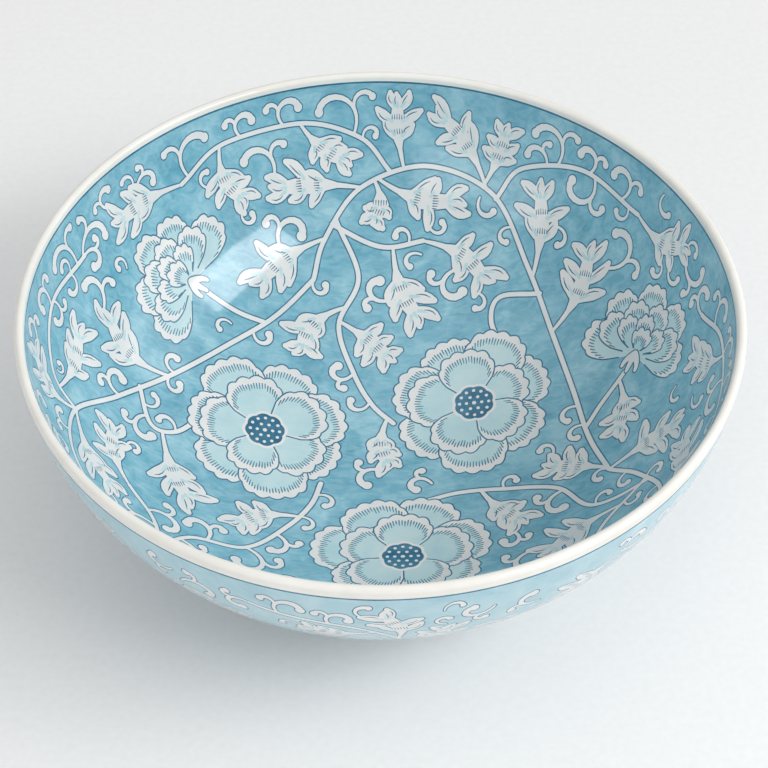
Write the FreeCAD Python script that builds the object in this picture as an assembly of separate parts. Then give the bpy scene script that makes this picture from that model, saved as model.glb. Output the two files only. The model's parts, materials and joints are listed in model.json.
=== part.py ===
import FreeCAD, Part
import math
import os

# Porcelain serving bowl: a turned body with a luted foot ring, and the fired
# glaze coats that carry its painting. Millimetres, +Z up. The origin is the
# centre of the foot's contact plane and every piece is turned about +Z.

# Driving dimensions
RIM_DIAMETER = 305.0
HEIGHT = 116.0
FLOOR_LEVEL = 11.0            # inside floor above the table, at the centre
LIP_THICKNESS = 4.1
WALL_SLOPE_AT_LIP = 83.5      # degrees from horizontal
FLOOR_EDGE_SLOPE = 18.0       # degrees, where the shallow floor becomes the wall
WALL_THICKENING = 4.5         # outer wall arc's extra radius, thickens the wall downwards
GLAZE = 0.4
RIM_BAND_INSIDE = 3.2         # depth of the white rim glaze below the lip, inside
RIM_BAND_OUTSIDE = 5.8        # and outside
FOOT_TOP_RADIUS = 62.5
FOOT_TOE_RADIUS = 60.8
FOOT_TOP_WIDTH = 7.6
FOOT_TOE_WIDTH = 5.0
TOE_ROUNDING = 1.2
BARE_TOE = 2.2                # height left free of glaze above the table

SECTORS = 8                   # sectors that each turned solid is joined from
PARTS_FOLDER = "parts"


# Profile geometry: points are (radius, height), and an arc's angle is the
# slope of the surface, counted from straight down at the arc's centre.

def on_arc(arc, slope, inset=0.0):
    """Point of an arc (centre radius, centre height, radius) at a slope."""
    centre_r, centre_z, radius = arc
    return (centre_r + (radius + inset) * math.sin(slope),
            centre_z - (radius + inset) * math.cos(slope))


def slope_at_height(arc, height):
    return math.acos((arc[1] - height) / arc[2])


def slope_at_radius(arc, radius, inset=0.0):
    return math.asin((radius - arc[0]) / (arc[2] + inset))


LIP_SLOPE = math.radians(WALL_SLOPE_AT_LIP)
EDGE_SLOPE = math.radians(FLOOR_EDGE_SLOPE)
LIP_TOP_SLOPE = LIP_SLOPE + math.pi / 2
LIP_INSIDE_SLOPE = LIP_SLOPE + math.pi

# The lip is a half round, square to the wall.
LIP_RADIUS = LIP_THICKNESS / 2
LIP_ARC = (RIM_DIAMETER / 2 - LIP_RADIUS, HEIGHT - LIP_RADIUS, LIP_RADIUS)


def inside_arcs():
    """Floor and wall arcs that meet smoothly and end at the lip."""
    end_r, end_z = on_arc(LIP_ARC, LIP_INSIDE_SLOPE)
    rise = end_z - FLOOR_LEVEL
    sine = math.sin(EDGE_SLOPE)
    drop = 1 - math.cos(EDGE_SLOPE)
    wall_run = math.sin(LIP_SLOPE) - sine
    wall_rise = math.cos(EDGE_SLOPE) - math.cos(LIP_SLOPE)
    scale = sine * wall_rise - wall_run * drop
    floor_radius = (end_r * wall_rise - wall_run * rise) / scale
    wall_radius = (sine * rise - drop * end_r) / scale
    floor = (0.0, FLOOR_LEVEL + floor_radius, floor_radius)
    wall = ((floor_radius - wall_radius) * sine,
            floor[1] - (floor_radius - wall_radius) * math.cos(EDGE_SLOPE),
            wall_radius)
    return floor, wall


def outside_arcs(inside_wall):
    """The same outside, with a wall that thickens towards the foot."""
    wall_radius = inside_wall[2] + LIP_THICKNESS + WALL_THICKENING
    start_r, start_z = on_arc(LIP_ARC, LIP_SLOPE)
    wall = (start_r - wall_radius * math.sin(LIP_SLOPE),
            start_z + wall_radius * math.cos(LIP_SLOPE),
            wall_radius)
    edge_r, edge_z = on_arc(wall, EDGE_SLOPE)
    floor_radius = edge_r / math.sin(EDGE_SLOPE)
    floor = (0.0, edge_z + floor_radius * math.cos(EDGE_SLOPE), floor_radius)
    return floor, wall


INSIDE_FLOOR, INSIDE_WALL = inside_arcs()
OUTSIDE_FLOOR, OUTSIDE_WALL = outside_arcs(INSIDE_WALL)

BAND_INSIDE_SLOPE = slope_at_height(INSIDE_WALL, HEIGHT - RIM_BAND_INSIDE)
BAND_OUTSIDE_SLOPE = slope_at_height(OUTSIDE_WALL, HEIGHT - RIM_BAND_OUTSIDE)


# Edges

def vertex(point):
    return FreeCAD.Vector(point[0], 0, point[1])


def line(start, end):
    return Part.LineSegment(vertex(start), vertex(end)).toShape()


def arc_edge(arc, start, end, inset=0.0):
    middle = (start + end) / 2
    points = [vertex(on_arc(arc, slope, inset)) for slope in (start, middle, end)]
    return Part.Arc(*points).toShape()


def turned(edges):
    """Solid of revolution about +Z from one closed half section, joined from
    equal sectors so that no face runs all the way round."""
    origin, up = FreeCAD.Vector(0, 0, 0), FreeCAD.Vector(0, 0, 1)
    section = Part.Face(Part.Wire(Part.sortEdges(edges)[0]))
    sectors = []
    for turn in range(SECTORS):
        start = section.copy()
        start.rotate(origin, up, turn * 360 / SECTORS)
        sectors.append(start.revolve(origin, up, 360 / SECTORS))
    return sectors[0].multiFuse(sectors[1:])


def coat(stretches):
    """Turned skin, one glaze thick. Each stretch is (arc, start, end, depth),
    where depth moves the surface to the clay under the glaze."""
    outer = [arc_edge(arc, start, end) for arc, start, end, depth in stretches]
    clay = [arc_edge(arc, start, end, depth) for arc, start, end, depth in stretches]
    first, last = stretches[0], stretches[-1]
    ends = [line(on_arc(first[0], first[1]), on_arc(first[0], first[1], first[3])),
            line(on_arc(last[0], last[2]), on_arc(last[0], last[2], last[3]))]
    return turned(outer + clay + ends)


# Foot: tapered faces, from where they meet the underside down to the toe.
# One face is (radius at the top, radius at the toe).
FOOT_OUTER = (FOOT_TOP_RADIUS, FOOT_TOE_RADIUS)
FOOT_INNER = (FOOT_TOP_RADIUS - FOOT_TOP_WIDTH, FOOT_TOE_RADIUS - FOOT_TOE_WIDTH)


def foot_face(face, shift):
    """Top and toe points of a foot face, moved sideways by shift. The top
    point lies on the underside where its clay begins."""
    top = on_arc(OUTSIDE_FLOOR, slope_at_radius(OUTSIDE_FLOOR, face[0] + shift, -GLAZE), -GLAZE)
    return top, (face[1] + shift, 0.0)


def along(face, height):
    """Point of a foot face at a height above the table."""
    top, toe = face
    share = height / top[1]
    return (toe[0] + (top[0] - toe[0]) * share, height)


def bowl_body():
    return turned([
        arc_edge(INSIDE_FLOOR, 0, EDGE_SLOPE, GLAZE),
        arc_edge(INSIDE_WALL, EDGE_SLOPE, LIP_SLOPE, GLAZE),
        arc_edge(LIP_ARC, LIP_INSIDE_SLOPE, LIP_TOP_SLOPE, -GLAZE),
        arc_edge(LIP_ARC, LIP_TOP_SLOPE, LIP_SLOPE, -GLAZE),
        arc_edge(OUTSIDE_WALL, LIP_SLOPE, EDGE_SLOPE, -GLAZE),
        arc_edge(OUTSIDE_FLOOR, EDGE_SLOPE, 0, -GLAZE),
        line(on_arc(OUTSIDE_FLOOR, 0, -GLAZE), on_arc(INSIDE_FLOOR, 0, GLAZE)),
    ])


def foot_ring():
    outer = foot_face(FOOT_OUTER, -GLAZE)
    inner = foot_face(FOOT_INNER, GLAZE)
    outer_knee = along(outer, TOE_ROUNDING)
    inner_knee = along(inner, TOE_ROUNDING)
    outer_flat = (outer[1][0] - TOE_ROUNDING, 0.0)
    inner_flat = (inner[1][0] + TOE_ROUNDING, 0.0)
    reach = TOE_ROUNDING * (1 - math.sqrt(0.5))
    outer_bend = (outer[1][0] - reach, reach)
    inner_bend = (inner[1][0] + reach, reach)
    outer_slope = slope_at_radius(OUTSIDE_FLOOR, outer[0][0], -GLAZE)
    inner_slope = slope_at_radius(OUTSIDE_FLOOR, inner[0][0], -GLAZE)
    return turned([
        arc_edge(OUTSIDE_FLOOR, inner_slope, outer_slope, -GLAZE),
        line(outer[0], outer_knee),
        Part.Arc(vertex(outer_knee), vertex(outer_bend), vertex(outer_flat)).toShape(),
        line(outer_flat, inner_flat),
        Part.Arc(vertex(inner_flat), vertex(inner_bend), vertex(inner_knee)).toShape(),
        line(inner_knee, inner[0]),
    ])


def inner_glaze():
    return coat([
        (INSIDE_FLOOR, 0, EDGE_SLOPE, GLAZE),
        (INSIDE_WALL, EDGE_SLOPE, BAND_INSIDE_SLOPE, GLAZE),
    ])


def rim_glaze():
    return coat([
        (INSIDE_WALL, BAND_INSIDE_SLOPE, LIP_SLOPE, GLAZE),
        (LIP_ARC, LIP_INSIDE_SLOPE, LIP_TOP_SLOPE, -GLAZE),
        (LIP_ARC, LIP_TOP_SLOPE, LIP_SLOPE, -GLAZE),
        (OUTSIDE_WALL, LIP_SLOPE, BAND_OUTSIDE_SLOPE, -GLAZE),
    ])


def outer_glaze():
    """Outer wall from the rim band down to the bare toe of the foot."""
    surface_slope = slope_at_radius(OUTSIDE_FLOOR, FOOT_TOP_RADIUS)
    corner = on_arc(OUTSIDE_FLOOR, surface_slope)
    clay = foot_face(FOOT_OUTER, -GLAZE)
    clay_slope = slope_at_radius(OUTSIDE_FLOOR, clay[0][0], -GLAZE)
    clay_end = along(clay, BARE_TOE)
    glaze_end = (clay_end[0] + GLAZE, BARE_TOE)
    return turned([
        line(on_arc(OUTSIDE_WALL, BAND_OUTSIDE_SLOPE),
             on_arc(OUTSIDE_WALL, BAND_OUTSIDE_SLOPE, -GLAZE)),
        arc_edge(OUTSIDE_WALL, BAND_OUTSIDE_SLOPE, EDGE_SLOPE),
        arc_edge(OUTSIDE_FLOOR, EDGE_SLOPE, surface_slope),
        line(corner, glaze_end),
        line(glaze_end, clay_end),
        line(clay_end, clay[0]),
        arc_edge(OUTSIDE_FLOOR, clay_slope, EDGE_SLOPE, -GLAZE),
        arc_edge(OUTSIDE_WALL, EDGE_SLOPE, BAND_OUTSIDE_SLOPE, -GLAZE),
    ])


def base_glaze():
    """Recess inside the foot ring, down to its bare toe."""
    surface_slope = slope_at_radius(OUTSIDE_FLOOR, FOOT_INNER[0])
    corner = on_arc(OUTSIDE_FLOOR, surface_slope)
    clay = foot_face(FOOT_INNER, GLAZE)
    clay_slope = slope_at_radius(OUTSIDE_FLOOR, clay[0][0], -GLAZE)
    clay_end = along(clay, BARE_TOE)
    glaze_end = (clay_end[0] - GLAZE, BARE_TOE)
    return turned([
        line(on_arc(OUTSIDE_FLOOR, 0), on_arc(OUTSIDE_FLOOR, 0, -GLAZE)),
        arc_edge(OUTSIDE_FLOOR, 0, surface_slope),
        line(corner, glaze_end),
        line(glaze_end, clay_end),
        line(clay_end, clay[0]),
        arc_edge(OUTSIDE_FLOOR, clay_slope, 0, -GLAZE),
    ])


def main():
    os.makedirs(PARTS_FOLDER, exist_ok=True)
    for make in (bowl_body, foot_ring, inner_glaze, rim_glaze, outer_glaze, base_glaze):
        shape = make()
        shape.exportStep(os.path.join(PARTS_FOLDER, make.__name__ + ".step"))
        print(make.__name__, round(shape.Volume), "mm3, valid:", shape.isValid(), "solids:", len(shape.Solids))


main()
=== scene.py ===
import json
import math

import bpy
import numpy as np
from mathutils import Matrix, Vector, geometry

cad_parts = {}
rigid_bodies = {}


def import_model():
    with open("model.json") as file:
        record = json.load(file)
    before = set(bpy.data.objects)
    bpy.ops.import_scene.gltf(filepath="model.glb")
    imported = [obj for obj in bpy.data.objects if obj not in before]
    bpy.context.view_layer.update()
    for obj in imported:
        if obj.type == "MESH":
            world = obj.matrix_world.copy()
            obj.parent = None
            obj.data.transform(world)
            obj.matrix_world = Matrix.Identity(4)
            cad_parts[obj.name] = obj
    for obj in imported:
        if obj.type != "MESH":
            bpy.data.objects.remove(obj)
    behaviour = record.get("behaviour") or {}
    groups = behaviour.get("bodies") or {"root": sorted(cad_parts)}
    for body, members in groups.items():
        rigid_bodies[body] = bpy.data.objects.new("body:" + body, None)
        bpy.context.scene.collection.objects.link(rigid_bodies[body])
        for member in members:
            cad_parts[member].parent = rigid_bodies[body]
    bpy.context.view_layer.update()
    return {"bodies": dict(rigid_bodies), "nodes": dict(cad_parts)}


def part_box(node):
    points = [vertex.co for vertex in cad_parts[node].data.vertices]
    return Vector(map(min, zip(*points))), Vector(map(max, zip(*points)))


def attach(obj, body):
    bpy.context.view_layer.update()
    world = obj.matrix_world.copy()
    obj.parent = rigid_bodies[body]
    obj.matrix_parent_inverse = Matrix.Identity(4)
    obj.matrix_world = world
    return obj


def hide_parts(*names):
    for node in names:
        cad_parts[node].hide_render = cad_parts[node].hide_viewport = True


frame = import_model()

# Looks of a turned porcelain bowl. Its four glaze coats are rebuilt here: the
# lining and the outer wall as painted skins, the lip's band and the recess
# under the foot as smooth turned pieces. The clay keeps its CAD mesh.
# Lengths are in millimetres until a mesh is made.
MM = 0.001
BODY = next(iter(frame["bodies"]))


def frame_mm(node, corner, axis):
    """One coordinate of a node's box, to the tenth of a millimetre."""
    return round(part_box(node)[corner][axis] / MM, 1)


# ---------------------------------------------------------------- profile
# An arc is (centre radius, centre height, radius). Its angle is the slope of
# the surface, counted from straight down at the arc's centre. The frame's
# boxes give the bowl's levels and widths, and these are the CAD's own numbers
# that no box shows.
LOW, HIGH = 0, 1             # corners of a box
GLAZE = 0.4
LIP_THICKNESS = 4.1
LIP_SLOPE = math.radians(83.5)      # of the wall where the lip's half round begins
EDGE_SLOPE = math.radians(18.0)     # where the shallow floor becomes the wall
WALL_THICKENING = 4.5               # extra radius of the outer wall's arc
FOOT_TOP_WIDTH = 7.6
FOOT_TOP_RADIUS = 62.5
FOOT_TOE_RADIUS = 60.8
FOOT_TOE_WIDTH = 5.0

RIM_RADIUS = frame_mm("rim_glaze", HIGH, 0)
HEIGHT = frame_mm("rim_glaze", HIGH, 2)
FLOOR_LEVEL = frame_mm("inner_glaze", LOW, 2) + GLAZE
BAND_INSIDE = frame_mm("inner_glaze", HIGH, 2)
BAND_OUTSIDE = frame_mm("outer_glaze", HIGH, 2)
BARE_TOE = frame_mm("outer_glaze", LOW, 2)

LIP_RADIUS = LIP_THICKNESS / 2
LIP_ARC = (RIM_RADIUS - LIP_RADIUS, HEIGHT - LIP_RADIUS, LIP_RADIUS)


def on_arc(arc, slope, inset=0.0):
    """Radius and height of an arc's point, moved out from its centre by inset."""
    centre_r, centre_z, radius = arc
    reach = radius + inset
    return (centre_r + reach * math.sin(slope), centre_z - reach * math.cos(slope))


def inside_arcs():
    """Floor and wall arcs that meet smoothly and end at the lip."""
    end_r, end_z = on_arc(LIP_ARC, LIP_SLOPE + math.pi)
    rise = end_z - FLOOR_LEVEL
    sine = math.sin(EDGE_SLOPE)
    drop = 1 - math.cos(EDGE_SLOPE)
    wall_run = math.sin(LIP_SLOPE) - sine
    wall_rise = math.cos(EDGE_SLOPE) - math.cos(LIP_SLOPE)
    scale = sine * wall_rise - wall_run * drop
    floor_radius = (end_r * wall_rise - wall_run * rise) / scale
    wall_radius = (sine * rise - drop * end_r) / scale
    floor = (0.0, FLOOR_LEVEL + floor_radius, floor_radius)
    reach = floor_radius - wall_radius
    return floor, (reach * sine, floor[1] - reach * math.cos(EDGE_SLOPE), wall_radius)


def outside_arcs(inside_wall):
    """The same outside, with a wall that thickens towards the foot."""
    wall_radius = inside_wall[2] + LIP_THICKNESS + WALL_THICKENING
    start_r, start_z = on_arc(LIP_ARC, LIP_SLOPE)
    wall = (start_r - wall_radius * math.sin(LIP_SLOPE),
            start_z + wall_radius * math.cos(LIP_SLOPE),
            wall_radius)
    edge_r, edge_z = on_arc(wall, EDGE_SLOPE)
    floor_radius = edge_r / math.sin(EDGE_SLOPE)
    return (0.0, edge_z + floor_radius * math.cos(EDGE_SLOPE), floor_radius), wall


def slope_at_height(arc, height):
    return math.acos((arc[1] - height) / arc[2])


def slope_at_radius(arc, radius, inset=0.0):
    return math.asin((radius - arc[0]) / (arc[2] + inset))


INSIDE_FLOOR, INSIDE_WALL = inside_arcs()
OUTSIDE_FLOOR, OUTSIDE_WALL = outside_arcs(INSIDE_WALL)
BAND_INSIDE_SLOPE = slope_at_height(INSIDE_WALL, BAND_INSIDE)
BAND_OUTSIDE_SLOPE = slope_at_height(OUTSIDE_WALL, BAND_OUTSIDE)
FOOT_SLOPE = slope_at_radius(OUTSIDE_FLOOR, FOOT_TOP_RADIUS)


class Surface:
    """A turned surface laid flat on a map: a point's distance from the map's
    centre is its length along the surface. Points of the map are complex
    numbers, in millimetres. The map begins at the distance first, with the
    slope first_slope, and side is -1 inside the bowl and 1 outside."""

    def __init__(self, floor, wall, first_slope, last_slope, first, side):
        self.floor, self.wall, self.side = floor, wall, side
        self.first_slope, self.first = first_slope, first
        self.edge = first + floor[2] * (EDGE_SLOPE - first_slope)
        self.last = self.edge + wall[2] * (last_slope - EDGE_SLOPE)

    def place(self, distance):
        """Radius, height, and the outward direction's radial and vertical parts."""
        distance = np.asarray(distance, float)
        on_wall = distance > self.edge
        slope = np.where(on_wall, EDGE_SLOPE + (distance - self.edge) / self.wall[2],
                         self.first_slope + (distance - self.first) / self.floor[2])
        centre_r, centre_z, radius = (np.where(on_wall, w, f) for w, f in zip(self.wall, self.floor))
        return (centre_r + radius * np.sin(slope), centre_z - radius * np.cos(slope),
                self.side * np.sin(slope), -self.side * np.cos(slope))

    def stretch(self, point):
        """How much wider the map is than the surface, across its radii."""
        distance = max(abs(point), 1.0)
        return max(1.0, distance / float(self.place(distance)[0]))


LINING = Surface(INSIDE_FLOOR, INSIDE_WALL, 0.0, BAND_INSIDE_SLOPE, 0.0, -1)
OUTER_WALL = Surface(OUTSIDE_FLOOR, OUTSIDE_WALL, FOOT_SLOPE, BAND_OUTSIDE_SLOPE, FOOT_TOP_RADIUS, 1)

# ---------------------------------------------------------------- drawing
WASH, WHITE, TINT, INK = range(4)
SLOT_NAMES = ("wash_blue", "reserve_white", "petal_tint", "ink_line")
LINE = 0.62                  # width of the dark outlines
CIRCLE_STEPS = 256
SMALLEST_AREA = 0.02         # a shape below this, in square millimetres, is left out


def circle(radius, steps=CIRCLE_STEPS):
    """Round outline about the origin."""
    return radius * np.exp(2j * np.pi * np.arange(steps) / steps)


def smooth(points, step=2.0):
    """Curve through the points, evenly stepped."""
    points = [complex(p) for p in points]
    padded = [2 * points[0] - points[1]] + points + [2 * points[-1] - points[-2]]
    path = [points[0]]
    for before, start, end, after in zip(padded, padded[1:], padded[2:], padded[3:]):
        count = max(2, round(abs(end - start) / step))
        for share in np.arange(1, count + 1) / count:
            path.append(0.5 * (2 * start + (end - before) * share
                               + (2 * before - 5 * start + 4 * end - after) * share ** 2
                               + (3 * start - before - 3 * end + after) * share ** 3))
    return np.array(path)


def bending(start, heading, length, turn, steps=9):
    """Path that turns steadily more as it goes, like a young shoot."""
    shares = (np.arange(steps) + 0.5) / steps
    headings = heading + turn * shares ** 1.5
    return start + np.concatenate(([0], np.cumsum(np.exp(1j * headings) * length / steps)))


def ribbon(path, widths):
    """Outline of a stroke with round ends. Widths are half widths."""
    path, widths = np.asarray(path), np.broadcast_to(widths, len(path))
    if len(path) == 1:
        return path[0] + circle(widths[0], 12)
    ahead = np.diff(path)
    ahead = ahead / abs(ahead)
    along = np.concatenate((ahead[:1], ahead[1:] + ahead[:-1], ahead[-1:]))
    along = along / abs(along)
    cap = np.exp(1j * np.radians((-45, 0, 45)))
    tail = path[0] - along[0] * cap * widths[0]
    head = path[-1] + along[-1] * cap * widths[-1]
    side = 1j * along * widths
    return np.concatenate((path - side, head, (path + side)[::-1], tail))


class Drawing:
    """Shapes on the map, each one over those before it."""

    def __init__(self):
        self.shapes = []

    def add(self, points, slot):
        points = np.asarray(points)
        area = np.sum(np.conj(points) * np.roll(points, -1)).imag / 2
        if abs(area) > SMALLEST_AREA:
            self.shapes.append((points if area > 0 else points[::-1], slot))

    def union(self, strokes, slot=WHITE, line=LINE):
        """Strokes merged into one shape with one dark outline round it."""
        for path, widths in strokes:
            self.add(ribbon(path, np.asarray(widths) + line), INK)
        for path, widths in strokes:
            self.add(ribbon(path, widths), slot)


class Spot:
    """A place on the map where a motif is drawn in its own coordinates, with
    +x along its heading, at true size on the curved surface."""

    def __init__(self, surface, origin, heading):
        self.origin = origin
        self.turn = np.exp(1j * heading)
        self.outward = origin / abs(origin) if abs(origin) > 1 else 1.0
        self.stretch = surface.stretch(origin)

    def __call__(self, points):
        local = np.asarray(points) * self.turn / self.outward
        return self.origin + (local.real + 1j * local.imag * self.stretch) * self.outward

    def strokes(self, strokes):
        return [(self(path), widths) for path, widths in strokes]


# ---------------------------------------------------------------- flowers
PETAL_LINE = 0.34            # half width
SCALLOP = 1.5                # depth of the lobes along a petal's edge
WHITE_EDGE = 3.6             # white border between a petal's edge and its tint
PETAL_SHOULDER = 0.42        # share of its length that a petal loses at its sides
HATCH_PITCH = 1.45
HATCH_REACH = 0.86           # share of a petal's spread that carries strokes


def petal(drawing, spot, direction, length, spread, lobes, rng):
    """Fan with a scalloped edge: white rim, a comb of short strokes, tint inside."""
    share = np.linspace(-1, 1, lobes * 6 + 1)

    def body(at):
        return length * (1 - PETAL_SHOULDER * abs(at) ** 3.2)

    def ray(at, reach):
        return reach * np.exp(1j * (direction + spread * at))

    lobing = abs(np.sin(np.pi * lobes * (share + 1) / 2))
    edge = ray(share, body(share) + SCALLOP * lobing)
    drawing.add(spot(np.concatenate(([0], edge))), WHITE)
    within = np.linspace(-0.9, 0.9, 15)
    inner_edge = ray(within, body(within) - WHITE_EDGE)
    drawing.add(spot(np.concatenate(([0], inner_edge))), TINT)
    count = max(4, int(2 * spread * length * HATCH_REACH / HATCH_PITCH))
    for at in np.linspace(-HATCH_REACH, HATCH_REACH, count):
        top = body(at) - WHITE_EDGE + rng.uniform(0.2, 1.1)
        bottom = top - rng.uniform(2.2, 3.6)
        drawing.add(ribbon(spot(ray(at, np.array([top, bottom]))), (0.3, 0.17)), INK)
    sides = np.array([0.3, 0.5])
    outline = np.concatenate((ray(-1, sides * length), edge, ray(1, sides[::-1] * length)))
    drawing.add(ribbon(spot(outline), PETAL_LINE), INK)


HEART_BORDER = 1.3
HEART_SCALLOP = 0.09
GRAIN = 0.095                # of the seed head's radius
GRAIN_RINGS = ((0.42, 6), (0.8, 12))     # distance as a share of the radius, count


def heart(drawing, spot, radius):
    """Dark round seed head with a scalloped edge and rings of white grains."""
    angles = 2 * np.pi * np.arange(96) / 96
    edge = (1 + HEART_SCALLOP * abs(np.sin(4 * angles))) * np.exp(1j * angles)
    drawing.add(spot((radius + HEART_BORDER) * edge), WHITE)
    drawing.add(spot(radius * edge), INK)
    drawing.add(spot(circle(radius * 0.12, 10)), WHITE)
    for ring, count in GRAIN_RINGS:
        for turn in range(count):
            centre = radius * ring * np.exp(2j * np.pi * turn / count)
            drawing.add(spot(centre + circle(radius * GRAIN, 10)), WHITE)


# Rings of an open flower: petals, length as a share of its size, half spread
# in degrees, lobes.
OPEN_RINGS = ((7, 1.0, 36, 7), (5, 0.74, 43, 6))
# Rows of a side flower, from the back: petals, degrees that the row fans to
# each side, then length, half spread and lobes as above.
SIDE_ROWS = ((5, 86, 1.0, 27, 5), (4, 66, 0.78, 27, 4), (3, 46, 0.56, 27, 4), (1, 0, 0.36, 46, 4))
HEART_SIZE = 0.22


def open_peony(drawing, spot, size, rng):
    """Flower seen from the front: rings of petals round its heart."""
    for count, reach, spread, lobes in OPEN_RINGS:
        start = rng.uniform(0, 2 * np.pi)
        for turn in rng.permutation(count):
            direction = start + 2 * np.pi * turn / count + rng.uniform(-0.08, 0.08)
            length = size * reach * rng.uniform(0.9, 1.06)
            petal(drawing, spot, direction, length, math.radians(spread), lobes, rng)
    heart(drawing, spot, size * HEART_SIZE)


def side_peony(drawing, spot, size, rng):
    """Flower seen from the side, opening along its heading, over its calyx."""
    for count, reach, length, spread, lobes in SIDE_ROWS:
        places = np.linspace(-1, 1, count) if count > 1 else [0]
        for at in sorted(places, key=lambda place: -abs(place)):
            direction = math.radians(reach) * at + rng.uniform(-0.06, 0.06)
            petal(drawing, spot, direction, size * length * rng.uniform(0.92, 1.05),
                  math.radians(spread), lobes, rng)
    calyx = [(bending(0, np.pi + side, size * 0.26, -side), np.linspace(1.9, 0.9, 10))
             for side in (-0.9, 0.9, -0.1)]
    drawing.union(spot.strokes(calyx))


# ---------------------------------------------------------------- leaves and tendrils
SPINE_STEPS = 12
BLADE_STEPS, BLADE_WIDTHS = (0, 4, 8, SPINE_STEPS), (0.7, 1.3, 4.5, 3.3)
LOBE_WIDTHS = (2.0, 2.3, 2.6, 2.9, 2.9, 2.4, 1.5)
TIP_WIDTHS = (2.6, 2.7, 2.8, 2.8, 2.6, 2.1, 1.3)
# Pairs of lobes: share of the spine, degrees to its side, length as a share of
# the size. A small spray goes without the first pair.
LOBE_PAIRS = ((0.5, 50, 0.26), (0.78, 62, 0.27), (1.0, 44, 0.25))
SMALL_SPRAY = 26
COMB_STATIONS = (7, 10)      # steps of the spine that carry a comb of strokes
COMB_PITCH = 1.2
COMB_LENGTH = 2.6


def spray(size, turn, rng):
    """Strokes of a leaf spray: a stem that opens like a trumpet into a blade
    with finger lobes. The spine comes first, then the lobes."""
    spine = bending(0, 0, size * 0.72, turn, SPINE_STEPS)
    strokes = [(spine, np.interp(np.arange(SPINE_STEPS + 1), BLADE_STEPS, BLADE_WIDTHS))]
    for station, spread, reach in LOBE_PAIRS if size > SMALL_SPRAY else LOBE_PAIRS[1:]:
        index = round(station * SPINE_STEPS)
        ahead = np.angle(spine[index] - spine[index - 1])
        for side in (-1, 1):
            direction = ahead + side * math.radians(spread) + rng.uniform(-0.15, 0.15)
            start = spine[index] + 0.8 * np.exp(1j * direction)
            length = max(5.5, size * reach * rng.uniform(0.8, 1.2))
            lobe = bending(start, direction, length, side * rng.uniform(-1.0, 0.7), 6)
            strokes.append((lobe, LOBE_WIDTHS))
    tip_length = max(5.0, size * 0.2)
    tip = bending(spine[-1], np.angle(spine[-1] - spine[-2]), tip_length, -turn, 6)
    return strokes + [(tip, TIP_WIDTHS)]


def leaf_lines(drawing, spot, strokes):
    """Combs across the blade, and a crescent and a touch of tint in each lobe."""
    (spine, blade), lobes = strokes[0], strokes[1:]
    for station in COMB_STATIONS:
        ahead = spine[station + 1] - spine[station]
        ahead = ahead / abs(ahead)
        width = blade[station] - 0.5
        for offset in np.arange(-width, width + 0.1, COMB_PITCH):
            start = spine[station] + 1j * ahead * offset
            end = start + (COMB_LENGTH - 0.25 * abs(offset)) * ahead
            drawing.add(ribbon(spot(np.array([start, end])), (0.3, 0.15)), INK)
    for lobe, widths in lobes:
        ahead = (lobe[-1] - lobe[-3]) / abs(lobe[-1] - lobe[-3])
        crescent = lobe[2:6] + 1j * ahead * np.array([0.9, 1.35, 1.3, 0.7])
        drawing.add(ribbon(spot(crescent), (0.12, 0.3, 0.3, 0.12)), INK)
        drawing.add(ribbon(spot(lobe[1:4]), (0.9, 0.7, 0.25)), TINT)


TENDRIL_STEPS = 12
FULL_TENDRIL = 20            # a shorter one is finer
FORKED_TENDRIL = 16          # a shorter one has no fork


def tendril(size, turn):
    """Strokes of a hooked tendril that thickens to a bulb, often with a fork."""
    fine = min(1.0, size / FULL_TENDRIL)
    path = bending(0, 0, size, turn, TENDRIL_STEPS)
    widths = np.interp(np.arange(TENDRIL_STEPS + 1), (0, 5, 10, TENDRIL_STEPS), (0.7, 1.1, 1.8, 1.9))
    strokes = [(path, fine * widths), (path[-1:], (2.5 * fine,))]
    if size > FORKED_TENDRIL:
        fork = bending(path[4], turn * 0.15, size * 0.45, -turn * 0.85, 8)
        strokes += [(fork, fine * np.linspace(0.7, 1.5, len(fork))), (fork[-1:], (2.1 * fine,))]
    return strokes


class Room:
    """Which parts of the map are taken, in cells half a millimetre wide."""
    CELL = 0.5

    def __init__(self, first, last):
        self.half = int(last / self.CELL) + 8
        steps = np.arange(-self.half, self.half + 1) * self.CELL
        distance = abs(steps[None, :] + 1j * steps[:, None])
        self.taken = (distance > last) | (distance < first)

    def cells(self, points):
        return (np.rint(points.imag / self.CELL).astype(int) + self.half,
                np.rint(points.real / self.CELL).astype(int) + self.half)

    def take_disc(self, centre, radius):
        """Takes a round patch, unless it runs off the map."""
        (row,), (column,) = self.cells(np.array([centre]))
        reach = int(radius / self.CELL) + 1
        rows, columns = np.ogrid[-reach:reach + 1, -reach:reach + 1]
        disc = rows ** 2 + columns ** 2 <= (radius / self.CELL) ** 2
        patch = self.taken[max(row - reach, 0):row + reach + 1,
                           max(column - reach, 0):column + reach + 1]
        if patch.shape == disc.shape:
            patch |= disc

    def take(self, strokes, margin):
        for path, widths in strokes:
            for centre, width in zip(path, np.broadcast_to(widths, len(path))):
                self.take_disc(centre, width + margin)

    def free(self, strokes, base, skip, margin):
        """True if the strokes meet nothing, apart from near their base."""
        for path, widths in strokes:
            outline = ribbon(path, np.asarray(widths) + margin)
            points = np.concatenate((outline, path))
            rows, columns = self.cells(points[abs(points - base) > skip])
            if not rows.size:
                continue
            if min(rows.min(), columns.min()) < 0 or max(rows.max(), columns.max()) >= len(self.taken):
                return False
            if self.taken[rows, columns].any():
                return False
        return True


def polar(degrees, distance):
    return distance * np.exp(1j * math.radians(degrees))


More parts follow.
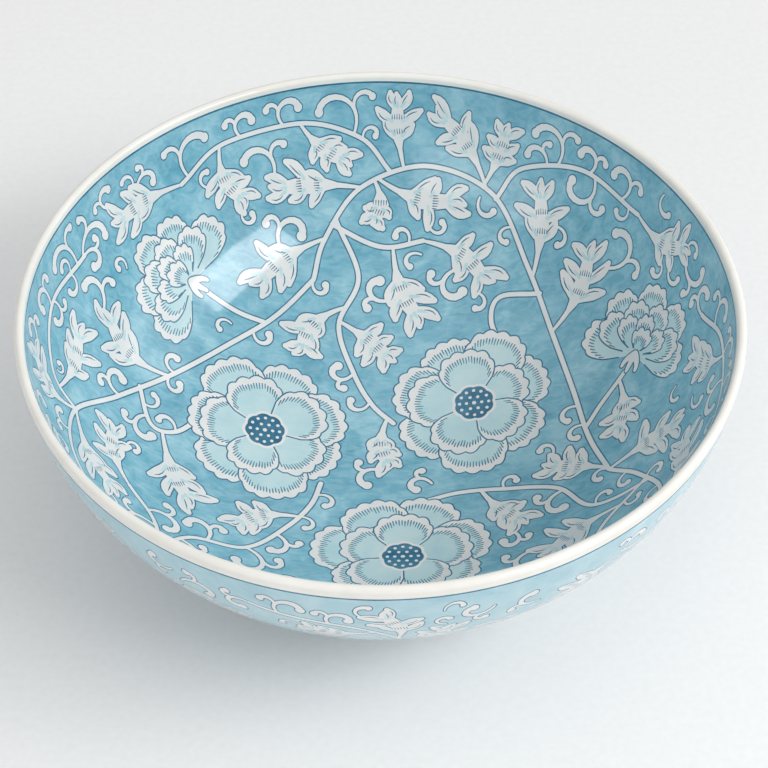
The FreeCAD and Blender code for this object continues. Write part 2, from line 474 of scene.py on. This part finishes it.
VINE_WIDTH = 1.1             # half width of the white vine
GAP = 0.6                    # ground left clear round a motif's outline
SPRAY_LEANS = (0.7, 1.15, 1.6, 2.1)         # radians off the vine, tried in turn
TENDRIL_LEANS = (0.5, 1.0, 1.5)
CROWN_LEANS = (0, 0.4, -0.4, 0.8, -0.8)
CURL = (3.0, 4.4)            # radians that a tendril turns through


class Scroll:
    """A scroll of vines, flowers, leaf sprays and tendrils on one surface."""

    def __init__(self, surface, margin, seed):
        self.surface, self.rng = surface, np.random.default_rng(seed)
        inner = surface.first + margin if surface.first else 0
        self.room = Room(inner, surface.last - margin)
        self.vines, self.flowers, self.sprays, self.tendrils = [], [], [], []

    def flower(self, origin, heading, size, draw):
        """Reserves the flower's ground; it is drawn last, over the vines."""
        spot = Spot(self.surface, origin, heading)
        self.flowers.append((draw, spot, size))
        for share in (0.0, 0.35, 0.7):
            for direction in np.radians(np.arange(0, 360, 12)):
                off_heading = abs((direction + np.pi) % (2 * np.pi) - np.pi)
                if draw is open_peony or off_heading < 1.9:
                    point = spot(np.array([share * size * np.exp(1j * direction)]))[0]
                    self.room.take_disc(point, size * 0.36)

    def vine(self, points):
        path = smooth(points)
        self.vines.append(path)
        self.room.take([(path, VINE_WIDTH)], LINE + 0.3)

    def fits(self, placed, base, skip):
        """Takes the room for the strokes if it is free."""
        if not self.room.free(placed, base, skip, LINE + GAP):
            return False
        self.room.take(placed, LINE)
        return True

    def try_spray(self, base, heading, size, skip=5.5):
        turn = self.rng.uniform(0.2, 1.1) * self.rng.choice([-1, 1])
        spot = Spot(self.surface, base, heading)
        strokes = spray(size * self.rng.uniform(0.93, 1.07), turn, self.rng)
        if not self.fits(spot.strokes(strokes), base, skip):
            return False
        self.sprays.append((spot, strokes))
        return True

    def try_tendril(self, base, heading, size, turn, skip=3.6):
        spot = Spot(self.surface, base, heading)
        placed = spot.strokes(tendril(size * self.rng.uniform(0.9, 1.1), turn))
        if not self.fits(placed, base, skip):
            return False
        self.tendrils.append(placed)
        return True

    def crown(self, sizes):
        """Ends each loose vine in a leaf spray, or else in a tendril."""
        for path in self.vines:
            end, ahead = path[-1], np.angle(path[-1] - path[-2])
            for size in sizes:
                if any(self.try_spray(end, ahead + lean, size, 7.5) for lean in CROWN_LEANS):
                    break
            else:
                any(self.try_tendril(end, ahead, size, turn, 5.0)
                    for size in (20, 14, 10) for turn in (-4, 4))

    def anchors(self, paths, pitch):
        """Places along the paths, with the direction of growth on each side."""
        for path in paths:
            stride = max(1, round(pitch / abs(path[1] - path[0])))
            offset = self.rng.integers(0, stride)
            for index in range(offset, len(path) - 1, stride):
                ahead = np.angle(path[index + 1] - path[index])
                for side in self.rng.permutation([-1, 1]):
                    yield path[index], ahead, side

    def grow_sprays(self, paths, pitch, sizes):
        for size in sizes:
            for base, ahead, side in self.anchors(paths, pitch):
                any(self.try_spray(base, ahead + side * lean, size) for lean in SPRAY_LEANS)

    def grow_tendrils(self, paths, pitch, sizes):
        for size in sizes:
            for base, ahead, side in self.anchors(paths, pitch):
                for lean in TENDRIL_LEANS:
                    turn = self.rng.uniform(*CURL) * self.rng.choice([-1, 1])
                    if self.try_tendril(base, ahead + side * lean, size, turn):
                        break

    def scatter(self, spray_sizes, tendril_sizes, tries):
        """Fills the ground that is still open."""
        first, last = self.surface.first, self.surface.last
        for sizes, is_spray in ((spray_sizes, True), (tendril_sizes, False)):
            for size in sizes:
                for attempt in range(tries):
                    distance = math.sqrt(self.rng.uniform(first ** 2, last ** 2))
                    base = polar(self.rng.uniform(0, 360), distance)
                    heading = self.rng.uniform(0, 2 * np.pi)
                    if is_spray:
                        self.try_spray(base, heading, size, 0)
                    else:
                        self.try_tendril(base, heading, size, self.rng.uniform(*CURL), 0)

    def spray_paths(self):
        """Lines of the sprays, where small tendrils may spring from."""
        return [spot(path) for spot, strokes in self.sprays for path, widths in strokes[1::2]]

    def draw(self, drawing):
        stems = [stroke for placed in self.tendrils for stroke in placed]
        stems += [(path, VINE_WIDTH) for path in self.vines]
        stems += [stroke for spot, strokes in self.sprays for stroke in spot.strokes(strokes)]
        drawing.union(stems)
        for spot, strokes in self.sprays:
            leaf_lines(drawing, spot, strokes)
        for draw, spot, size in self.flowers:
            draw(drawing, spot, size, self.rng)


# ---------------------------------------------------------------- the two compositions
# Angles are in degrees, and distances lie along the surface from its centre.
SECTORS = 3
OPEN_SIZE, SIDE_SIZE = 38.0, 32.0
OPEN_AT, SIDE_AT = (40, 56.0), (17, 128.0)     # degrees into a sector, distance
OUTER_FLOWERS = 6
RIM_LINE = 1.0               # width of the dark line under the lip's band


def lining_scroll():
    """Three open flowers round the centre, three side flowers on the wall,
    and one wandering vine that feeds them all."""
    scroll = Scroll(LINING, 3.0, 11)
    for sector in range(SECTORS):
        start = sector * 360 / SECTORS

        def at(degrees, distance):
            return polar(start + degrees, distance)

        scroll.flower(at(*OPEN_AT), math.radians(start), OPEN_SIZE, open_peony)
        scroll.flower(at(*SIDE_AT), math.radians(start + 50), SIDE_SIZE, side_peony)
        scroll.vine([at(-12, 106), at(2, 95), at(20, 95), at(38, 104), at(54, 124), at(67, 150),
                     at(81, 157), at(94, 146), at(103, 124), at(108, 106)])
        scroll.vine([at(6, 95), at(11, 105), at(15, 120)])
        scroll.vine([at(48, 116), at(57, 106), at(56, 94), at(46, 84)])
        scroll.vine([at(66, 148), at(62, 166), at(50, 177), at(36, 174)])
        scroll.vine([at(88, 153), at(94, 170), at(105, 180), at(120, 180), at(130, 170)])
        scroll.vine([at(101, 130), at(90, 118), at(80, 122)])
        scroll.vine([at(100, 132), at(96, 104), at(104, 82), at(103, 56), at(96, 38), at(78, 28)])
    scroll.crown((44, 38, 31))
    scroll.grow_sprays(scroll.vines, 11, (48, 42, 36))
    scroll.grow_tendrils(scroll.vines, 6, (38, 32, 27))
    scroll.grow_tendrils(scroll.spray_paths(), 4, (32, 27, 22))
    scroll.grow_sprays(scroll.vines, 8, (31, 26))
    scroll.grow_tendrils(scroll.vines, 4, (22, 18, 14))
    scroll.grow_tendrils(scroll.spray_paths(), 3, (18, 14))
    scroll.scatter((36, 31, 26, 22), (26, 21, 16, 12), 700)
    return scroll


def outer_scroll():
    """A ring of side flowers on one waving vine, round the outer wall."""
    scroll = Scroll(OUTER_WALL, 4.0, 23)
    middle = (OUTER_WALL.first + OUTER_WALL.last) / 2
    for turn in range(OUTER_FLOWERS):
        start = turn * 360 / OUTER_FLOWERS
        rising = 1 if turn % 2 == 0 else -1

        def at(degrees, off_middle):
            return polar(start + degrees, middle + off_middle)

        centre = at(0, 8 * rising)
        heading = math.radians(start + 90 - 50 * rising)
        scroll.flower(centre, heading, SIDE_SIZE * 0.95, side_peony)
        scroll.vine([at(30, -26), at(18, -34), at(4, -30), at(-12, -24), at(-22, 4), at(-30, -26)])
        scroll.vine([at(30, -26), at(34, 16), at(26, 42), at(10, 52)])
        scroll.vine([at(4, -30), at(1, -12), centre])
    scroll.crown((38, 30))
    scroll.grow_sprays(scroll.vines, 10, (44, 36, 29))
    scroll.grow_tendrils(scroll.vines, 5, (24, 18, 13))
    scroll.grow_tendrils(scroll.spray_paths(), 5, (18, 14))
    scroll.scatter((32, 26), (22, 17, 13), 400)
    return scroll


# ---------------------------------------------------------------- meshes
FOOT_SLOT = WHITE            # slot of a skin's foot and back
GRID = 4.0                   # spacing of the map's free points
RINGS_BEHIND = 30
SOFT_EDGE = 0.6              # cosine between a face and a direction that it may take on


def make_object(name, mesh, node, slots, paints=()):
    """Piece that stands for a node. Its materials are the slots' own, unless
    paints names others."""
    obj = bpy.data.objects.new(name, mesh)
    bpy.context.scene.collection.objects.link(obj)
    for paint in paints or slots:
        mesh.materials.append(MATERIALS[paint])
    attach(obj, BODY)
    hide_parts(node)
    return obj


def ground_points(first, last):
    """Evenly spread points that keep the painted surface round between motifs."""
    points = []
    for distance in np.arange(first + GRID, last - GRID / 2, GRID):
        count = max(6, round(2 * np.pi * distance / GRID))
        points.append(distance * np.exp(2j * np.pi * (np.arange(count) + 0.5) / count))
    return np.concatenate(points)


def flat_mesh(drawing, surface):
    """Points and triangles of the map, and the slot of the uppermost shape
    over each triangle. The hole round the map's centre is left out."""
    hole = [(circle(surface.first), None)] if surface.first else []
    shapes = drawing.shapes + hole
    points, faces = [ground_points(surface.first, surface.last)], []
    count = len(points[0])
    for outline, slot in shapes:
        points.append(outline)
        faces.append(list(range(count, count + len(outline))))
        count += len(outline)
    corners = [Vector((p.real, p.imag)) for p in np.concatenate(points)]
    result = geometry.delaunay_2d_cdt(corners, [], faces, 0, 1e-5, True)
    spots, triangles, owners = result[0], result[2], result[5]
    kept = [(triangle, shapes[max(owner)][1]) for triangle, owner in zip(triangles, owners) if owner]
    kept = [(triangle, slot) for triangle, slot in kept if slot is not None]
    used = sorted({corner for triangle, slot in kept for corner in triangle})
    renumber = {old: new for new, old in enumerate(used)}
    flat = np.array([complex(p.x, p.y) for p in spots])[used]
    triangles = [tuple(renumber[corner] for corner in triangle) for triangle, slot in kept]
    return flat, triangles, [slot for triangle, slot in kept]


def spun(r, z, spokes):
    """Points, or directions, with their radial part turned to each spoke."""
    return np.stack((r * spokes.real, r * spokes.imag, z + 0 * spokes.real), axis=-1)


def lift(surface, distance, spokes, depth):
    """Points of the surface, moved in by depth, and their outward directions."""
    r, z, out_r, out_z = surface.place(distance)
    return spun(r - depth * out_r, z - depth * out_z, spokes), spun(out_r, out_z, spokes)


def rim_points(flat, length):
    """Numbers of the map's points on the circle of this radius, by spoke."""
    ids = [0] * CIRCLE_STEPS
    for index in np.nonzero(abs(abs(flat) - length) < 1e-3)[0]:
        turn = np.angle(flat[index]) / (2 * np.pi)
        ids[round(turn * CIRCLE_STEPS) % CIRCLE_STEPS] = int(index)
    return ids


class Skin:
    """Points with their directions, and the faces beside the painted front."""

    def __init__(self, facing_up):
        self.facing_up = facing_up
        self.points, self.directions, self.faces = [], [], []
        self.count = 0

    def add(self, points, directions):
        """Adds points, and gives their numbers."""
        self.points.append(points)
        self.directions.append(directions)
        self.count += len(points)
        return list(range(self.count - len(points), self.count))

    def band(self, near, far):
        """Faces between two rings."""
        low, high = (near, far) if self.facing_up else (far, near)
        for step in range(CIRCLE_STEPS):
            after = (step + 1) % CIRCLE_STEPS
            self.faces.append((low[step], low[after], high[after], high[step]))

    def add_back(self, surface, spokes):
        """Rings of the back, one glaze behind the front. Known fault: on the
        outer wall the first ring lies one step up from the foot, so the band
        that closes the skin there runs outside the foot's own face."""
        first_share = 1 if surface.first else 1 / RINGS_BEHIND
        rings = []
        for share in np.linspace(first_share, RINGS_BEHIND, RINGS_BEHIND) / RINGS_BEHIND:
            length = surface.first + (surface.last - surface.first) * share
            points, directions = lift(surface, length, spokes, GLAZE)
            rings.append(self.add(points, -directions))
        for near, far in zip(rings, rings[1:]):
            self.band(near, far)
        return rings

    def close_centre(self, ring):
        """Fan from the innermost ring of the back to the axis."""
        (centre,) = self.add(np.array([[0.0, 0.0, FLOOR_LEVEL - GLAZE]]), np.array([[0.0, 0.0, -1.0]]))
        for step in range(CIRCLE_STEPS):
            self.faces.append((centre, ring[(step + 1) % CIRCLE_STEPS], ring[step]))

    def mesh(self, name, triangles, slots):
        """Mesh whose first faces are the front's triangles, with their slots."""
        mesh = bpy.data.meshes.new(name)
        points = np.concatenate(self.points) * MM
        mesh.from_pydata(points.tolist(), [], triangles + self.faces)
        mesh.polygons.foreach_set("material_index", slots + [FOOT_SLOT] * len(self.faces))
        corners = np.empty(len(mesh.loops), dtype=np.int32)
        mesh.loops.foreach_get("vertex_index", corners)
        by_corner = np.concatenate(self.directions)[corners]
        for polygon in mesh.polygons[len(triangles):]:
            facing = np.array(polygon.normal)
            for loop in polygon.loop_indices:
                if by_corner[loop] @ facing < SOFT_EDGE:
                    by_corner[loop] = facing
        mesh.polygons.foreach_set("use_smooth", [True] * len(mesh.polygons))
        mesh.normals_split_custom_set(by_corner.tolist())
        return mesh


def painted_skin(name, node, drawing, surface, paints, foot=()):
    """Closed skin one glaze thick. Its front is the painted map laid on the
    surface, and the foot's own face where one is given."""
    flat, triangles, slots = flat_mesh(drawing, surface)
    skin = Skin(surface.side < 0)
    if not skin.facing_up:
        triangles = [triangle[::-1] for triangle in triangles]
    distance = abs(flat)
    outward = np.where(distance > 1e-9, flat / np.maximum(distance, 1e-9), 1.0)
    skin.add(*lift(surface, distance, outward, 0.0))
    spokes = circle(1.0)
    back = skin.add_back(surface, spokes)
    if not surface.first:
        skin.close_centre(back[0])
    skin.band(back[-1], rim_points(flat, surface.last))
    if surface.first:
        last_ring = rim_points(flat, surface.first)
        for r, z, out_r, out_z in foot:
            ring = skin.add(spun(r, z, spokes), spun(out_r, out_z, spokes))
            skin.band(last_ring, ring)
            last_ring = ring
        skin.band(last_ring, back[0])
    return make_object(name, skin.mesh(name, triangles, slots), node, SLOT_NAMES, paints)


def arc_points(arc, start, end, steps, inset=0.0):
    return [on_arc(arc, slope, inset) for slope in np.linspace(start, end, steps)]


SHARP_EDGE = math.radians(32)


def turned(name, node, profile, slot):
    """Solid of revolution from a closed profile of (radius, height) points.
    A point on the axis becomes one vertex."""
    spokes = circle(1.0)
    points, rings = [], []
    for r, z in profile:
        if r < 1e-6:
            rings.append([len(points)] * CIRCLE_STEPS)
            points.append((0.0, 0.0, z * MM))
            continue
        rings.append(list(range(len(points), len(points) + CIRCLE_STEPS)))
        points += [(r * MM * s.real, r * MM * s.imag, z * MM) for s in spokes]
    faces = []
    for low, high in zip(rings, rings[1:] + rings[:1]):
        for step in range(CIRCLE_STEPS):
            after = (step + 1) % CIRCLE_STEPS
            corners = list(dict.fromkeys((low[step], low[after], high[after], high[step])))
            if len(corners) > 2:
                faces.append(corners)
    mesh = bpy.data.meshes.new(name)
    mesh.from_pydata(points, [], faces)
    mesh.shade_smooth()
    mesh.set_sharp_from_angle(angle=SHARP_EDGE)
    return make_object(name, mesh, node, (slot,))


# ---------------------------------------------------------------- materials

def principled(name):
    material = bpy.data.materials.new(name)
    material.use_nodes = True
    nodes, links = material.node_tree.nodes, material.node_tree.links
    return material, nodes, links, nodes["Principled BSDF"]


def noise(nodes, links, scale, detail=3.0, distortion=0.0, stretch=(1, 1, 1)):
    """Noise over the bowl's own coordinates; scale counts blotches per metre."""
    where = nodes.new("ShaderNodeTexCoord")
    mapping = nodes.new("ShaderNodeMapping")
    mapping.inputs["Scale"].default_value = stretch
    texture = nodes.new("ShaderNodeTexNoise")
    texture.inputs["Scale"].default_value = scale
    texture.inputs["Detail"].default_value = detail
    texture.inputs["Distortion"].default_value = distortion
    links.new(where.outputs["Object"], mapping.inputs["Vector"])
    links.new(mapping.outputs["Vector"], texture.inputs["Vector"])
    return texture.outputs["Fac"]


def ramp(nodes, links, source, stops):
    """Colour between (position, colour) stops."""
    node = nodes.new("ShaderNodeValToRGB")
    while len(node.color_ramp.elements) < len(stops):
        node.color_ramp.elements.new(0.5)
    for element, (position, colour) in zip(node.color_ramp.elements, stops):
        element.position = position
        element.color = (*colour, 1.0)
    links.new(source, node.inputs["Fac"])
    return node.outputs["Color"]


def blend(nodes, links, share, first, second):
    """Mix of two colours, with this share of the second."""
    node = nodes.new("ShaderNodeMix")
    node.data_type = "RGBA"
    node.inputs[0].default_value = share
    first_input, second_input = (socket for socket in node.inputs if socket.type == "RGBA")
    links.new(first, first_input)
    links.new(second, second_input)
    return next(socket for socket in node.outputs if socket.type == "RGBA")


GRAIN_SCALE, WAVE_SCALE = 140.0, 45.0
WAVE_DEPTH = 0.0006          # metres
GLAZE_BUMP = 0.25


def finish_glaze(nodes, links, shader, gloss, bump):
    """Gloss that varies between two roughnesses, over a faintly wavy surface."""
    spread = nodes.new("ShaderNodeMapRange")
    spread.inputs["To Min"].default_value, spread.inputs["To Max"].default_value = gloss
    links.new(noise(nodes, links, GRAIN_SCALE, 4.0), spread.inputs["Value"])
    links.new(spread.outputs["Result"], shader.inputs["Roughness"])
    wave = nodes.new("ShaderNodeBump")
    wave.inputs["Strength"].default_value = bump
    wave.inputs["Distance"].default_value = WAVE_DEPTH
    links.new(noise(nodes, links, WAVE_SCALE, 2.0), wave.inputs["Height"])
    links.new(wave.outputs["Normal"], shader.inputs["Normal"])
    shader.inputs["Specular IOR Level"].default_value = 0.5


def glazed(name, dark, middle, light, gloss=(0.1, 0.22), scale=60.0, streaks=0.35):
    """Clear glaze over colour laid on with a brush, in blotches and streaks."""
    material, nodes, links, shader = principled(name)
    blotches = ramp(nodes, links, noise(nodes, links, scale, 5.0, 0.6),
                    ((0.3, dark), (0.5, middle), (0.7, light)))
    brush = ramp(nodes, links, noise(nodes, links, scale * 2.2, 3.0, 1.2, (1.0, 2.4, 1.6)),
                 ((0.35, middle), (0.62, light)))
    links.new(blend(nodes, links, streaks, blotches, brush), shader.inputs["Base Color"])
    finish_glaze(nodes, links, shader, gloss, GLAZE_BUMP)
    return material


def clay(name):
    """Bare fired clay, finely speckled and dull."""
    material, nodes, links, shader = principled(name)
    speckle = noise(nodes, links, 700.0, 6.0)
    links.new(ramp(nodes, links, speckle, ((0.35, (0.62, 0.57, 0.49)), (0.65, (0.78, 0.74, 0.67)))),
              shader.inputs["Base Color"])
    finish_glaze(nodes, links, shader, (0.6, 0.8), 0.15)
    return material


DRAWN_GLOSS = (0.06, 0.13)
# Name: the dark, middle and light colour, and what differs from glazed()'s own.
GLAZES = {
    "wash_blue": ((0.07, 0.29, 0.41), (0.165, 0.43, 0.55), (0.38, 0.63, 0.71),
                  {"gloss": (0.05, 0.11), "streaks": 0.45}),
    # Paler copy of the wash for the outer wall: the paleness is painted light, the white floor's
    # reflection and bounce on the outer wall.
    "wash_with_painted_light": ((0.27, 0.50, 0.60), (0.37, 0.59, 0.67), (0.50, 0.68, 0.74), {"gloss": (0.08, 0.15)}),
    "reserve_white": ((0.66, 0.70, 0.71), (0.76, 0.77, 0.76), (0.82, 0.81, 0.79),
                      {"gloss": DRAWN_GLOSS, "scale": 40}),
    "petal_tint": ((0.40, 0.62, 0.68), (0.50, 0.70, 0.73), (0.60, 0.75, 0.76), {"gloss": DRAWN_GLOSS}),
    "ink_line": ((0.008, 0.09, 0.17), (0.025, 0.15, 0.25), (0.07, 0.24, 0.35),
                 {"gloss": DRAWN_GLOSS, "scale": 120}),
    "rim_white": ((0.74, 0.72, 0.66), (0.81, 0.80, 0.75), (0.86, 0.85, 0.81), {"scale": 30}),
    "base_white": ((0.68, 0.72, 0.72), (0.75, 0.78, 0.77), (0.81, 0.83, 0.82), {"scale": 30}),
}
MATERIALS = {name: glazed(name, *colours, **options) for name, (*colours, options) in GLAZES.items()}
MATERIALS["clay"] = clay("clay")

# ---------------------------------------------------------------- pieces
FOOT_LINE = (2.2, 1.2)       # the dark line above the foot: its far and near edge
BASE_STEPS, LIP_STEPS, CLAY_LIP_STEPS, WALL_STEPS = 16, 33, 17, (5, 4)


def begin(surface, line_width):
    """Drawing with the wash over the whole map and the dark line at its rim."""
    drawing = Drawing()
    drawing.add(circle(surface.last), INK)
    drawing.add(circle(surface.last - line_width), WASH)
    return drawing


def lining():
    drawing = begin(LINING, RIM_LINE)
    lining_scroll().draw(drawing)
    return painted_skin("lining_paint", "inner_glaze", drawing, LINING, SLOT_NAMES)


def foot_face(top_r, toe_r):
    """A face of the foot: where it starts under the wall, and where its glaze
    ends above the bare toe."""
    top = on_arc(OUTSIDE_FLOOR, slope_at_radius(OUTSIDE_FLOOR, top_r))
    return top, (toe_r + (top_r - toe_r) * BARE_TOE / top[1], BARE_TOE)


def foot_outer_profile():
    """Rings down the outer face of the foot and round the glaze's lower edge,
    each with its radius, its height and the direction that it faces."""
    (top_r, top_z), (toe_r, toe_z) = foot_face(FOOT_TOP_RADIUS, FOOT_TOE_RADIUS)
    lean = math.atan2(top_r - toe_r, top_z - toe_z)
    facing = (math.cos(lean), -math.sin(lean))
    face = [(top_r + (toe_r - top_r) * share, top_z + (toe_z - top_z) * share, *facing)
            for share in (0.0, 0.5, 1.0)]
    return face + [(toe_r - GLAZE, toe_z, 0.0, -1.0)]


def outer_paint():
    drawing = begin(OUTER_WALL, RIM_LINE)
    for offset, slot in zip(FOOT_LINE, (INK, WASH)):
        drawing.add(circle(OUTER_WALL.first + offset), slot)
    outer_scroll().draw(drawing)
    # The outer wall takes a paler copy of the wash, with the floor's reflected light painted into its
    # colour.
    paints = ("wash_with_painted_light",) + SLOT_NAMES[1:]
    return painted_skin("outer_paint", "outer_glaze", drawing, OUTER_WALL, paints,
                        foot_outer_profile())


def over_lip(depth, lip_steps):
    """Profile over the lip from the band's outer edge to its inner one, moved
    into the clay by depth."""
    outside_steps, inside_steps = WALL_STEPS
    return (arc_points(OUTSIDE_WALL, BAND_OUTSIDE_SLOPE, LIP_SLOPE, outside_steps, -depth)
            + arc_points(LIP_ARC, LIP_SLOPE, LIP_SLOPE + math.pi, lip_steps, -depth)[1:]
            + arc_points(INSIDE_WALL, LIP_SLOPE, BAND_INSIDE_SLOPE, inside_steps, depth)[1:])


def rim():
    profile = over_lip(0.0, LIP_STEPS) + over_lip(GLAZE, CLAY_LIP_STEPS)[::-1]
    return turned("rim_band", "rim_glaze", profile, "rim_white")


def base():
    """Clear coat of the recess inside the foot."""
    top, toe = foot_face(FOOT_TOP_RADIUS - FOOT_TOP_WIDTH, FOOT_TOE_RADIUS - FOOT_TOE_WIDTH)
    slope = slope_at_radius(OUTSIDE_FLOOR, top[0])
    surface = arc_points(OUTSIDE_FLOOR, 0, slope, BASE_STEPS)
    clay_side = arc_points(OUTSIDE_FLOOR, 0, slope, BASE_STEPS, -GLAZE)
    foot_side = [(top[0] + GLAZE, clay_side[-1][1]), (toe[0] + GLAZE, toe[1]), toe]
    profile = clay_side[:-1] + foot_side + surface[::-1]
    return turned("base_coat", "base_glaze", profile, "base_white")


lining()
outer_paint()
rim()
base()
for node in ("bowl_body", "foot_ring"):
    target = frame["nodes"][node]
    target.data.materials.clear()
    target.data.materials.append(MATERIALS["clay"])

# ---------------------------------------------------------------- setting
# Metres from here on.
MIDDLE = Vector((0.0, 0.0, 0.05))       # what the lights face
FLOOR_HALF = 6.0
FLOOR_COLOURS = ((0.3, (0.86, 0.86, 0.86)), (0.7, (0.89, 0.89, 0.89)))
DIM_SIDE, BRIGHT_SIDE = 0.34, 0.68      # the world's strength at the left and the right
SIDE_REACH = 0.8                        # how far to each side it keeps changing
CAMERA_ELEVATION = math.radians(46.7)
CAMERA_DISTANCE = 1.10
CAMERA_TARGET = Vector((0.0015, 0.0, 0.0678))
CAMERA_LENS, CAMERA_SENSOR = 119.6, 36.0        # millimetres


def floor():
    half = FLOOR_HALF
    corners = [(-half, -half, 0), (half, -half, 0), (half, half, 0), (-half, half, 0)]
    mesh = bpy.data.meshes.new("floor")
    mesh.from_pydata(corners, [], [(0, 1, 2, 3)])
    obj = bpy.data.objects.new("floor", mesh)
    bpy.context.scene.collection.objects.link(obj)
    material, nodes, links, shader = principled("floor_paper")
    paper = ramp(nodes, links, noise(nodes, links, 300.0, 3.0), FLOOR_COLOURS)
    links.new(paper, shader.inputs["Base Color"])
    shader.inputs["Roughness"].default_value = 0.9
    mesh.materials.append(material)


def aim(obj, target):
    direction = target - obj.location
    obj.rotation_euler = direction.to_track_quat("-Z", "Y").to_euler()


def around(azimuth, elevation, distance):
    """Place at a compass angle, counted from +X, and a height angle."""
    azimuth, elevation = math.radians(azimuth), math.radians(elevation)
    level = math.cos(elevation)
    return MIDDLE + distance * Vector((math.cos(azimuth) * level, math.sin(azimuth) * level,
                                       math.sin(elevation)))


def area_light(name, place, width, height, watts):
    """White panel that faces the bowl."""
    light = bpy.data.lights.new(name, "AREA")
    light.shape = "RECTANGLE"
    light.size = width
    light.size_y = height
    light.energy = watts
    obj = bpy.data.objects.new(name, light)
    bpy.context.scene.collection.objects.link(obj)
    obj.location = place
    aim(obj, MIDDLE)


def camera():
    data = bpy.data.cameras.new("camera")
    data.sensor_width = CAMERA_SENSOR
    data.lens = CAMERA_LENS
    obj = bpy.data.objects.new("camera", data)
    bpy.context.scene.collection.objects.link(obj)
    back = Vector((0.0, -math.cos(CAMERA_ELEVATION), math.sin(CAMERA_ELEVATION)))
    obj.location = CAMERA_TARGET + CAMERA_DISTANCE * back
    aim(obj, CAMERA_TARGET)
    bpy.context.scene.camera = obj


def world():
    """Even studio light, dimmer from the left than from the right."""
    scene_world = bpy.data.worlds.new("studio")
    scene_world.use_nodes = True
    nodes, links = scene_world.node_tree.nodes, scene_world.node_tree.links
    where = nodes.new("ShaderNodeTexCoord")
    split = nodes.new("ShaderNodeSeparateXYZ")
    side = nodes.new("ShaderNodeMapRange")
    side.inputs["From Min"].default_value = -SIDE_REACH
    side.inputs["From Max"].default_value = SIDE_REACH
    side.inputs["To Min"].default_value = DIM_SIDE
    side.inputs["To Max"].default_value = BRIGHT_SIDE
    links.new(where.outputs["Generated"], split.inputs["Vector"])
    links.new(split.outputs["X"], side.inputs["Value"])
    links.new(side.outputs["Result"], nodes["Background"].inputs["Strength"])
    nodes["Background"].inputs["Color"].default_value = (1.0, 1.0, 1.0, 1.0)
    bpy.context.scene.world = scene_world


bpy.context.scene.view_settings.view_transform = "Standard"
floor()
world()
area_light("window", around(-27, 43, 2.4), 1.5, 0.7, 25.0)
area_light("right", around(8, 28, 2.4), 1.8, 1.3, 10.0)
area_light("front", around(-125, 18, 2.4), 2.0, 1.0, 11.0)
area_light("overhead", around(180, 70, 2.2), 2.6, 2.6, 9.0)
camera()
